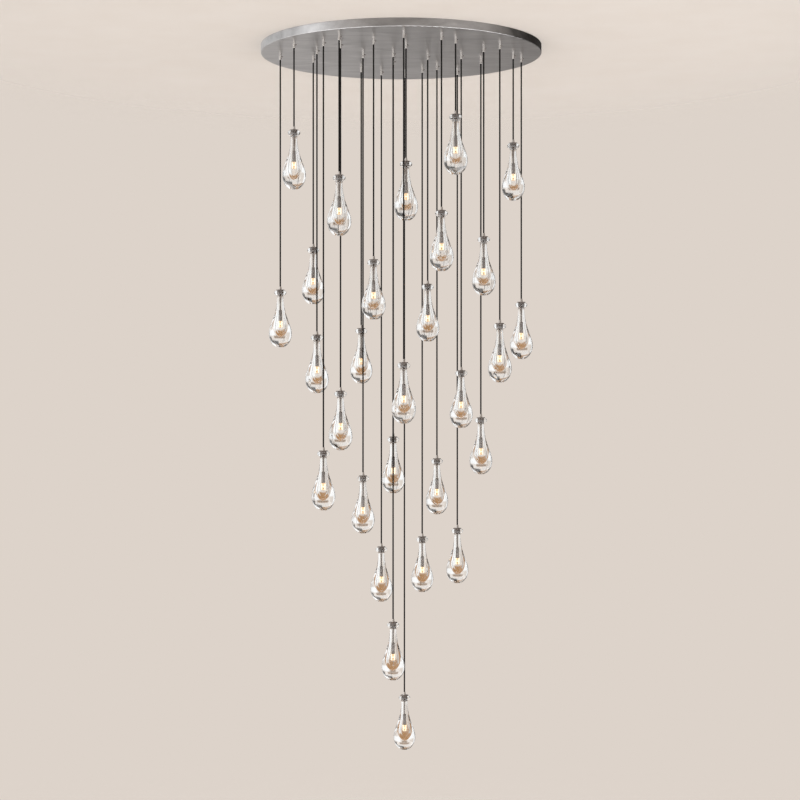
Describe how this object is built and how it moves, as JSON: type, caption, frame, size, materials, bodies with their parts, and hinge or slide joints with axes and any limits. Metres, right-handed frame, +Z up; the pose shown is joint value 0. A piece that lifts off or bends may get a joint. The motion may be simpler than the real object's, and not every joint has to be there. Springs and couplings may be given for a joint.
{
  "type": "crystal chandelier",
  "caption": "Flush round ceiling canopy with clear glass teardrop pendants hanging at staggered heights on straight black cords, a small capsule lamp inside each drop.",
  "frame": {"origin": "centre of the bracket's bolt circle, on its face against the ceiling", "axes": "+Z up into the ceiling, -Y towards the front, +X to the right seen from the front"},
  "size_m": [1.22, 1.22, 3.141],
  "materials": {
    "brushed_nickel": "brushed nickel, satin",
    "polished_nickel": "polished nickel",
    "zinc_steel": "zinc plated steel",
    "clear_crystal": "clear polished crystal glass",
    "black_cord": "matt black cord sheath",
    "lamp_glass": "lamp glass with a warm filament"
  },
  "bodies": {
    "canopy": {"canopy_pan": "brushed_nickel", "ceiling_bracket": "zinc_steel", "cord_grips": "polished_nickel", "fixing_screws": "polished_nickel"},
    "pendant_01": {"crystal_drop_01": "clear_crystal", "cord_set_01": "black_cord"},
    "pendant_02": {"crystal_drop_02": "clear_crystal", "cord_set_02": "black_cord"},
    "pendant_03": {"crystal_drop_03": "clear_crystal", "cord_set_03": "black_cord"},
    "pendant_04": {"crystal_drop_04": "clear_crystal", "cord_set_04": "black_cord"},
    "pendant_05": {"crystal_drop_05": "clear_crystal", "cord_set_05": "black_cord"},
    "pendant_06": {"crystal_drop_06": "clear_crystal", "cord_set_06": "black_cord"},
    "pendant_07": {"crystal_drop_07": "clear_crystal", "cord_set_07": "black_cord"},
    "pendant_08": {"crystal_drop_08": "clear_crystal", "cord_set_08": "black_cord"},
    "pendant_09": {"crystal_drop_09": "clear_crystal", "cord_set_09": "black_cord"},
    "pendant_10": {"crystal_drop_10": "clear_crystal", "cord_set_10": "black_cord"},
    "pendant_11": {"crystal_drop_11": "clear_crystal", "cord_set_11": "black_cord"},
    "pendant_12": {"crystal_drop_12": "clear_crystal", "cord_set_12": "black_cord"},
    "pendant_13": {"crystal_drop_13": "clear_crystal", "cord_set_13": "black_cord"},
    "pendant_14": {"crystal_drop_14": "clear_crystal", "cord_set_14": "black_cord"},
    "pendant_15": {"crystal_drop_15": "clear_crystal", "cord_set_15": "black_cord"},
    "pendant_16": {"crystal_drop_16": "clear_crystal", "cord_set_16": "black_cord"},
    "pendant_17": {"crystal_drop_17": "clear_crystal", "cord_set_17": "black_cord"},
    "pendant_18": {"crystal_drop_18": "clear_crystal", "cord_set_18": "black_cord"},
    "pendant_19": {"crystal_drop_19": "clear_crystal", "cord_set_19": "black_cord"},
    "pendant_20": {"crystal_drop_20": "clear_crystal", "cord_set_20": "black_cord"},
    "pendant_21": {"crystal_drop_21": "clear_crystal", "cord_set_21": "black_cord"},
    "pendant_22": {"crystal_drop_22": "clear_crystal", "cord_set_22": "black_cord"},
    "pendant_23": {"crystal_drop_23": "clear_crystal", "cord_set_23": "black_cord"},
    "pendant_24": {"crystal_drop_24": "clear_crystal", "cord_set_24": "black_cord"},
    "pendant_25": {"crystal_drop_25": "clear_crystal", "cord_set_25": "black_cord"},
    "pendant_26": {"crystal_drop_26": "clear_crystal", "cord_set_26": "black_cord"},
    "pendant_27": {"crystal_drop_27": "clear_crystal", "cord_set_27": "black_cord"},
    "pendant_28": {"crystal_drop_28": "clear_crystal", "cord_set_28": "black_cord"}
  },
  "joints": [
    {"name": "sway_01", "type": "hinge", "parent": "canopy", "child": "pendant_01", "pos_m": [0.225, -0.4, -0.049], "axis": [1, 0, 0], "range_deg": [-3, 3]},
    {"name": "sway_02", "type": "hinge", "parent": "canopy", "child": "pendant_02", "pos_m": [-0.45, -0.3, -0.049], "axis": [1, 0, 0], "range_deg": [-3, 3]},
    {"name": "sway_03", "type": "hinge", "parent": "canopy", "child": "pendant_03", "pos_m": [0.485, -0.055, -0.049], "axis": [1, 0, 0], "range_deg": [-3, 3]},
    {"name": "sway_04", "type": "hinge", "parent": "canopy", "child": "pendant_04", "pos_m": [0.02, -0.29, -0.049], "axis": [1, 0, 0], "range_deg": [-3, 3]},
    {"name": "sway_05", "type": "hinge", "parent": "canopy", "child": "pendant_05", "pos_m": [-0.255, -0.47, -0.049], "axis": [1, 0, 0], "range_deg": [-3, 3]},
    {"name": "sway_06", "type": "hinge", "parent": "canopy", "child": "pendant_06", "pos_m": [0.165, -0.47, -0.049], "axis": [1, 0, 0], "range_deg": [-3, 3]},
    {"name": "sway_07", "type": "hinge", "parent": "canopy", "child": "pendant_07", "pos_m": [0.35, -0.215, -0.049], "axis": [1, 0, 0], "range_deg": [-3, 3]},
    {"name": "sway_08", "type": "hinge", "parent": "canopy", "child": "pendant_08", "pos_m": [-0.385, 0.03, -0.049], "axis": [1, 0, 0], "range_deg": [-3, 3]},
    {"name": "sway_09", "type": "hinge", "parent": "canopy", "child": "pendant_09", "pos_m": [-0.115, -0.38, -0.049], "axis": [1, 0, 0], "range_deg": [-3, 3]},
    {"name": "sway_10", "type": "hinge", "parent": "canopy", "child": "pendant_10", "pos_m": [0.115, -0.035, -0.049], "axis": [1, 0, 0], "range_deg": [-3, 3]},
    {"name": "sway_11", "type": "hinge", "parent": "canopy", "child": "pendant_11", "pos_m": [-0.525, -0.035, -0.049], "axis": [1, 0, 0], "range_deg": [-3, 3]},
    {"name": "sway_12", "type": "hinge", "parent": "canopy", "child": "pendant_12", "pos_m": [0.525, 0.02, -0.049], "axis": [1, 0, 0], "range_deg": [-3, 3]},
    {"name": "sway_13", "type": "hinge", "parent": "canopy", "child": "pendant_13", "pos_m": [0.415, -0.275, -0.049], "axis": [1, 0, 0], "range_deg": [-3, 3]},
    {"name": "sway_14", "type": "hinge", "parent": "canopy", "child": "pendant_14", "pos_m": [-0.18, 0.265, -0.049], "axis": [1, 0, 0], "range_deg": [-3, 3]},
    {"name": "sway_15", "type": "hinge", "parent": "canopy", "child": "pendant_15", "pos_m": [-0.36, -0.165, -0.049], "axis": [1, 0, 0], "range_deg": [-3, 3]},
    {"name": "sway_16", "type": "hinge", "parent": "canopy", "child": "pendant_16", "pos_m": [0.01, -0.515, -0.049], "axis": [1, 0, 0], "range_deg": [-3, 3]},
    {"name": "sway_17", "type": "hinge", "parent": "canopy", "child": "pendant_17", "pos_m": [0.26, -0.05, -0.049], "axis": [1, 0, 0], "range_deg": [-3, 3]},
    {"name": "sway_18", "type": "hinge", "parent": "canopy", "child": "pendant_18", "pos_m": [-0.255, -0.295, -0.049], "axis": [1, 0, 0], "range_deg": [-3, 3]},
    {"name": "sway_19", "type": "hinge", "parent": "canopy", "child": "pendant_19", "pos_m": [0.35, 0.06, -0.049], "axis": [1, 0, 0], "range_deg": [-3, 3]},
    {"name": "sway_20", "type": "hinge", "parent": "canopy", "child": "pendant_20", "pos_m": [-0.035, 0.085, -0.049], "axis": [1, 0, 0], "range_deg": [-3, 3]},
    {"name": "sway_21", "type": "hinge", "parent": "canopy", "child": "pendant_21", "pos_m": [-0.325, -0.34, -0.049], "axis": [1, 0, 0], "range_deg": [-3, 3]},
    {"name": "sway_22", "type": "hinge", "parent": "canopy", "child": "pendant_22", "pos_m": [0.16, 0.205, -0.049], "axis": [1, 0, 0], "range_deg": [-3, 3]},
    {"name": "sway_23", "type": "hinge", "parent": "canopy", "child": "pendant_23", "pos_m": [-0.165, -0.075, -0.049], "axis": [1, 0, 0], "range_deg": [-3, 3]},
    {"name": "sway_24", "type": "hinge", "parent": "canopy", "child": "pendant_24", "pos_m": [0.255, 0.33, -0.049], "axis": [1, 0, 0], "range_deg": [-3, 3]},
    {"name": "sway_25", "type": "hinge", "parent": "canopy", "child": "pendant_25", "pos_m": [0.095, 0.28, -0.049], "axis": [1, 0, 0], "range_deg": [-3, 3]},
    {"name": "sway_26", "type": "hinge", "parent": "canopy", "child": "pendant_26", "pos_m": [-0.09, 0.34, -0.049], "axis": [1, 0, 0], "range_deg": [-3, 3]},
    {"name": "sway_27", "type": "hinge", "parent": "canopy", "child": "pendant_27", "pos_m": [-0.035, -0.1, -0.049], "axis": [1, 0, 0], "range_deg": [-3, 3]},
    {"name": "sway_28", "type": "hinge", "parent": "canopy", "child": "pendant_28", "pos_m": [0.015, 0.405, -0.049], "axis": [1, 0, 0], "range_deg": [-3, 3]}
  ]
}
